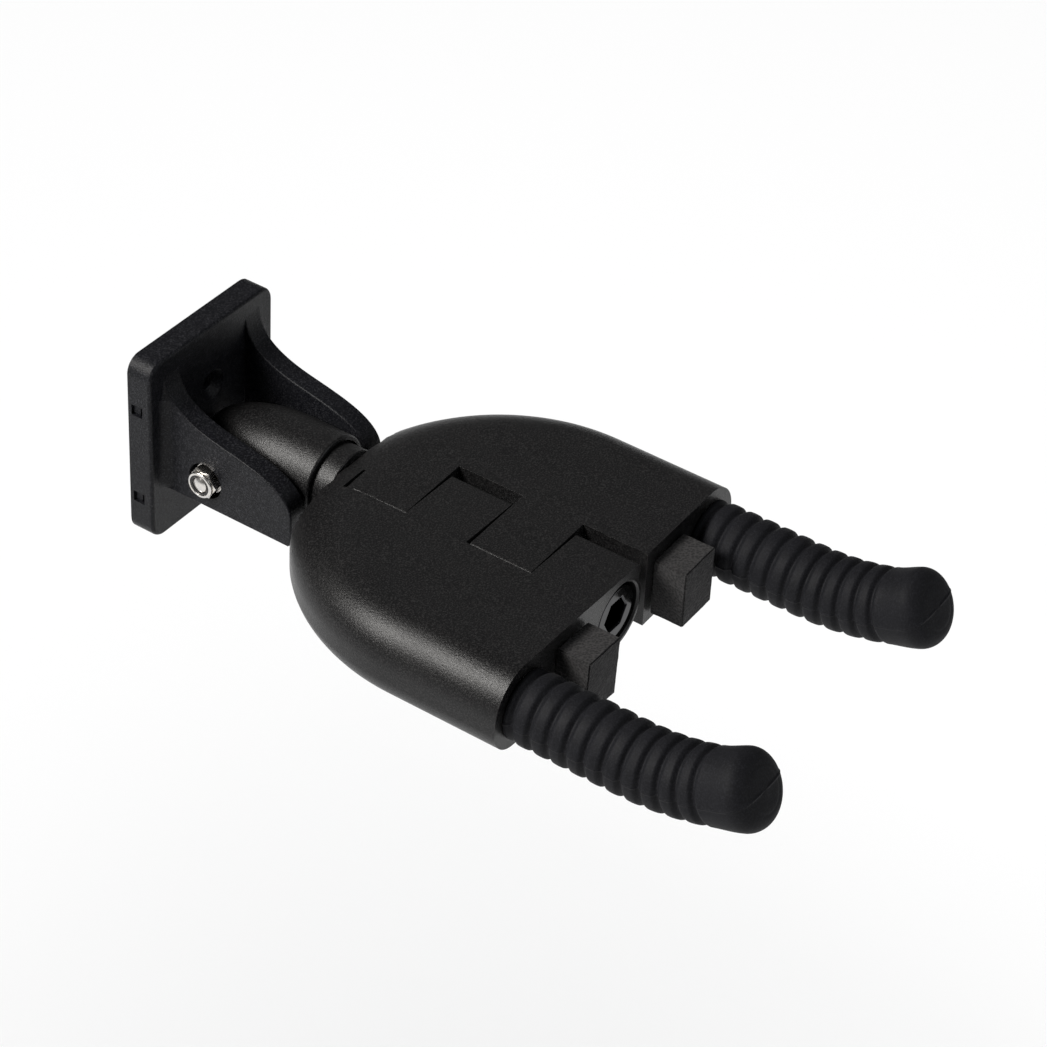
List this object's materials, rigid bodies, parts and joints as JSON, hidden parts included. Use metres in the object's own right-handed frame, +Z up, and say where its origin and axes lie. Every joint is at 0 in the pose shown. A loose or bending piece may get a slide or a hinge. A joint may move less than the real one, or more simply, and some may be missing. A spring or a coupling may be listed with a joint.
{
  "type": "wall guitar hanger",
  "caption": "Wall hanger for a guitar: fold-up barrel, swivelling head and two sprung wings whose rubber-sleeved prongs close round the neck under the guitar's weight.",
  "frame": {"origin": "centre of the wall bracket's back face", "axes": "+Y into the wall, +Z up, prongs point along -Y, +X to the right seen from the room"},
  "size_m": [0.11, 0.2122, 0.0578],
  "materials": {
    "bracket_plastic": "smooth satin black moulding with a faint cool sheen",
    "head_coating": "fine speckled matte black with broad soft highlights",
    "sleeve_rubber": "deep matte black moulded rubber",
    "charcoal_foam": "cut closed-cell foam, charcoal grey with fine pores",
    "black_nylon": "moulded nylon",
    "zinc_plate": "bright zinc plate",
    "black_oxide": "glossy black oxide steel",
    "plain_steel": "plain steel"
  },
  "bodies": {
    "bracket": {"wall_bracket": "bracket_plastic", "backing_plate": "bracket_plastic", "pivot_bolt": "zinc_plate", "pivot_nut": "zinc_plate", "pivot_nut_ring": "black_nylon", "pivot_washer_left": "zinc_plate", "pivot_washer_right": "zinc_plate"},
    "barrel": {"barrel": "head_coating", "pivot_bush_left": "black_nylon", "pivot_bush_right": "black_nylon", "swivel_screw": "black_oxide", "swivel_thrust_ring": "black_nylon", "swivel_liner": "black_nylon"},
    "neck": {"neck": "head_coating", "hinge_bolt": "black_oxide", "hinge_washer": "black_oxide"},
    "left_side": {"left_wing": "head_coating", "left_prong": "plain_steel", "left_prong_screw": "black_oxide", "left_sleeve": "sleeve_rubber", "left_foam_block": "charcoal_foam", "left_return_spring": "plain_steel", "left_hinge_bush_rear": "black_nylon", "left_hinge_bush_front": "black_nylon"},
    "right_side": {"right_wing": "head_coating", "right_prong": "plain_steel", "right_prong_screw": "black_oxide", "right_sleeve": "sleeve_rubber", "right_foam_block": "charcoal_foam", "right_return_spring": "plain_steel", "right_hinge_bush_rear": "black_nylon", "right_hinge_bush_front": "black_nylon"}
  },
  "joints": [
    {"name": "barrel_fold", "type": "hinge", "parent": "bracket", "child": "barrel", "pos_m": [0, -0.0216, -0.0047], "axis": [-1, 0, 0], "range_deg": [0, 80]},
    {"name": "head_swivel", "type": "hinge", "parent": "barrel", "child": "neck", "pos_m": [0, -0.05, -0.003], "axis": [0, -1, 0], "range_deg": [-45, 45]},
    {"name": "left_wing_fold", "type": "hinge", "parent": "neck", "child": "left_side", "pos_m": [0, -0.1, -0.003], "axis": [0, -1, 0], "range_deg": [0, 38], "stiffness_Nm_per_rad": 0.3, "springref_deg": -34.38},
    {"name": "right_wing_fold", "type": "hinge", "parent": "neck", "child": "right_side", "pos_m": [0, -0.1, -0.003], "axis": [0, 1, 0], "range_deg": [0, 38], "stiffness_Nm_per_rad": 0.3, "springref_deg": -34.38}
  ]
}
